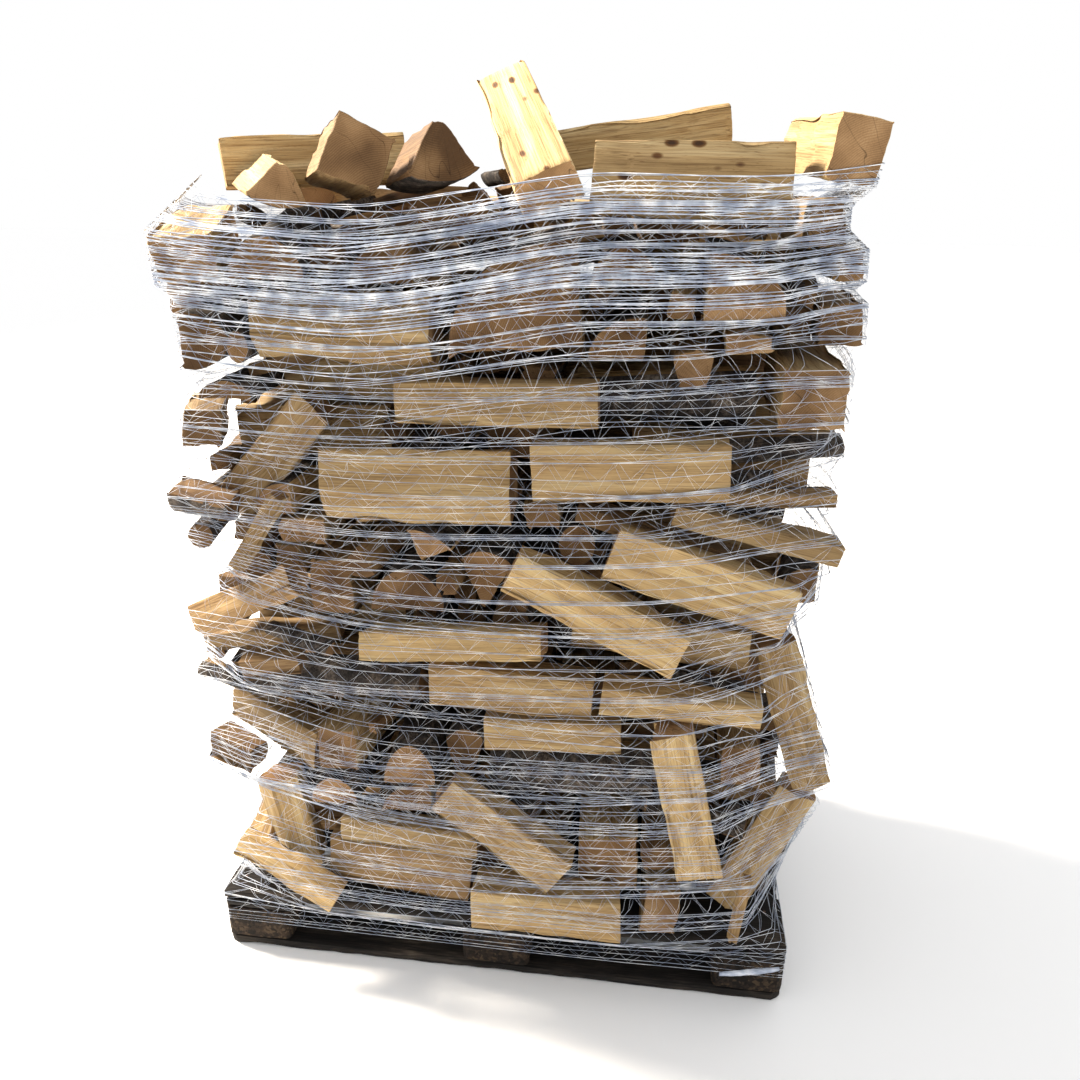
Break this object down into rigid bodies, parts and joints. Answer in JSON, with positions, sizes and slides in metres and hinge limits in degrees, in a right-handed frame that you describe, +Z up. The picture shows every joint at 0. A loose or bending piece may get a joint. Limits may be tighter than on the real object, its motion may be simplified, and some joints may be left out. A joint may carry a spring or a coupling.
{
  "type": "net-wrapped pallet of split firewood",
  "caption": "Standard four-way block pallet stacked high with split hardwood logs, held by a wound white pallet net, with loose logs on top.",
  "frame": {"origin": "middle of the underside of the pallet's middle bottom board, on the ground", "axes": "+X to the right along the pallet's 1200 mm side, +Y from the front into the load, +Z up"},
  "size_m": [1.3441, 0.9133, 1.792],
  "materials": {
    "split_firewood": "rough split faces and saw-cut ends, air-dried",
    "weathered_pallet_board": "sawn softwood, weathered dark",
    "chip_block": "pressed wood chips, weathered",
    "net_yarn": "knitted polyethylene tape yarn"
  },
  "bodies": {
    "root": {"log_corner_left_high": "split_firewood", "log_corner_left_middle": "split_firewood", "log_corner_right_high": "split_firewood", "log_front_bottom_middle": "split_firewood", "log_front_end_big": "split_firewood", "log_front_leaning_right": "split_firewood", "log_front_low_middle": "split_firewood", "log_front_middle_high": "split_firewood", "log_front_middle_left": "split_firewood", "log_front_middle_right": "split_firewood", "log_front_right_middle": "split_firewood", "log_front_slanting_long": "split_firewood", "log_front_slanting_low": "split_firewood", "log_front_slanting_wide": "split_firewood", "log_front_upper_left": "split_firewood", "log_front_wide_middle": "split_firewood", "log_front_with_orange_top": "split_firewood", "log_left_lowest": "split_firewood", "log_left_splint": "split_firewood", "log_left_standing": "split_firewood", "log_left_sunlit_split": "split_firewood", "log_right_edge_slanting": "split_firewood", "log_right_edge_standing": "split_firewood", "log_right_fan_middle": "split_firewood", "log_right_fan_top": "split_firewood", "log_right_short_slab": "split_firewood", "log_splint_right": "split_firewood", "log_top_brown_left": "split_firewood", "log_top_brown_middle": "split_firewood", "log_top_far_left": "split_firewood", "log_top_far_right": "split_firewood", "log_top_long_right": "split_firewood", "log_top_low_left": "split_firewood", "log_top_right_corner": "split_firewood", "log_top_tall": "split_firewood", "logs_lower": "split_firewood", "logs_middle": "split_firewood", "logs_upper": "split_firewood", "net": "net_yarn", "net_tail": "net_yarn", "pallet_block_back_centre": "chip_block", "pallet_block_back_left": "chip_block", "pallet_block_back_right": "chip_block", "pallet_block_front_centre": "chip_block", "pallet_block_front_left": "chip_block", "pallet_block_front_right": "chip_block", "pallet_block_middle_centre": "chip_block", "pallet_block_middle_left": "chip_block", "pallet_block_middle_right": "chip_block", "pallet_bottom_board_back": "weathered_pallet_board", "pallet_bottom_board_front": "weathered_pallet_board", "pallet_bottom_board_middle": "weathered_pallet_board", "pallet_cross_board_centre": "weathered_pallet_board", "pallet_cross_board_left": "weathered_pallet_board", "pallet_cross_board_right": "weathered_pallet_board", "pallet_top_board_1": "weathered_pallet_board", "pallet_top_board_2": "weathered_pallet_board", "pallet_top_board_3": "weathered_pallet_board", "pallet_top_board_4": "weathered_pallet_board", "pallet_top_board_5": "weathered_pallet_board"}
  },
  "joints": []
}
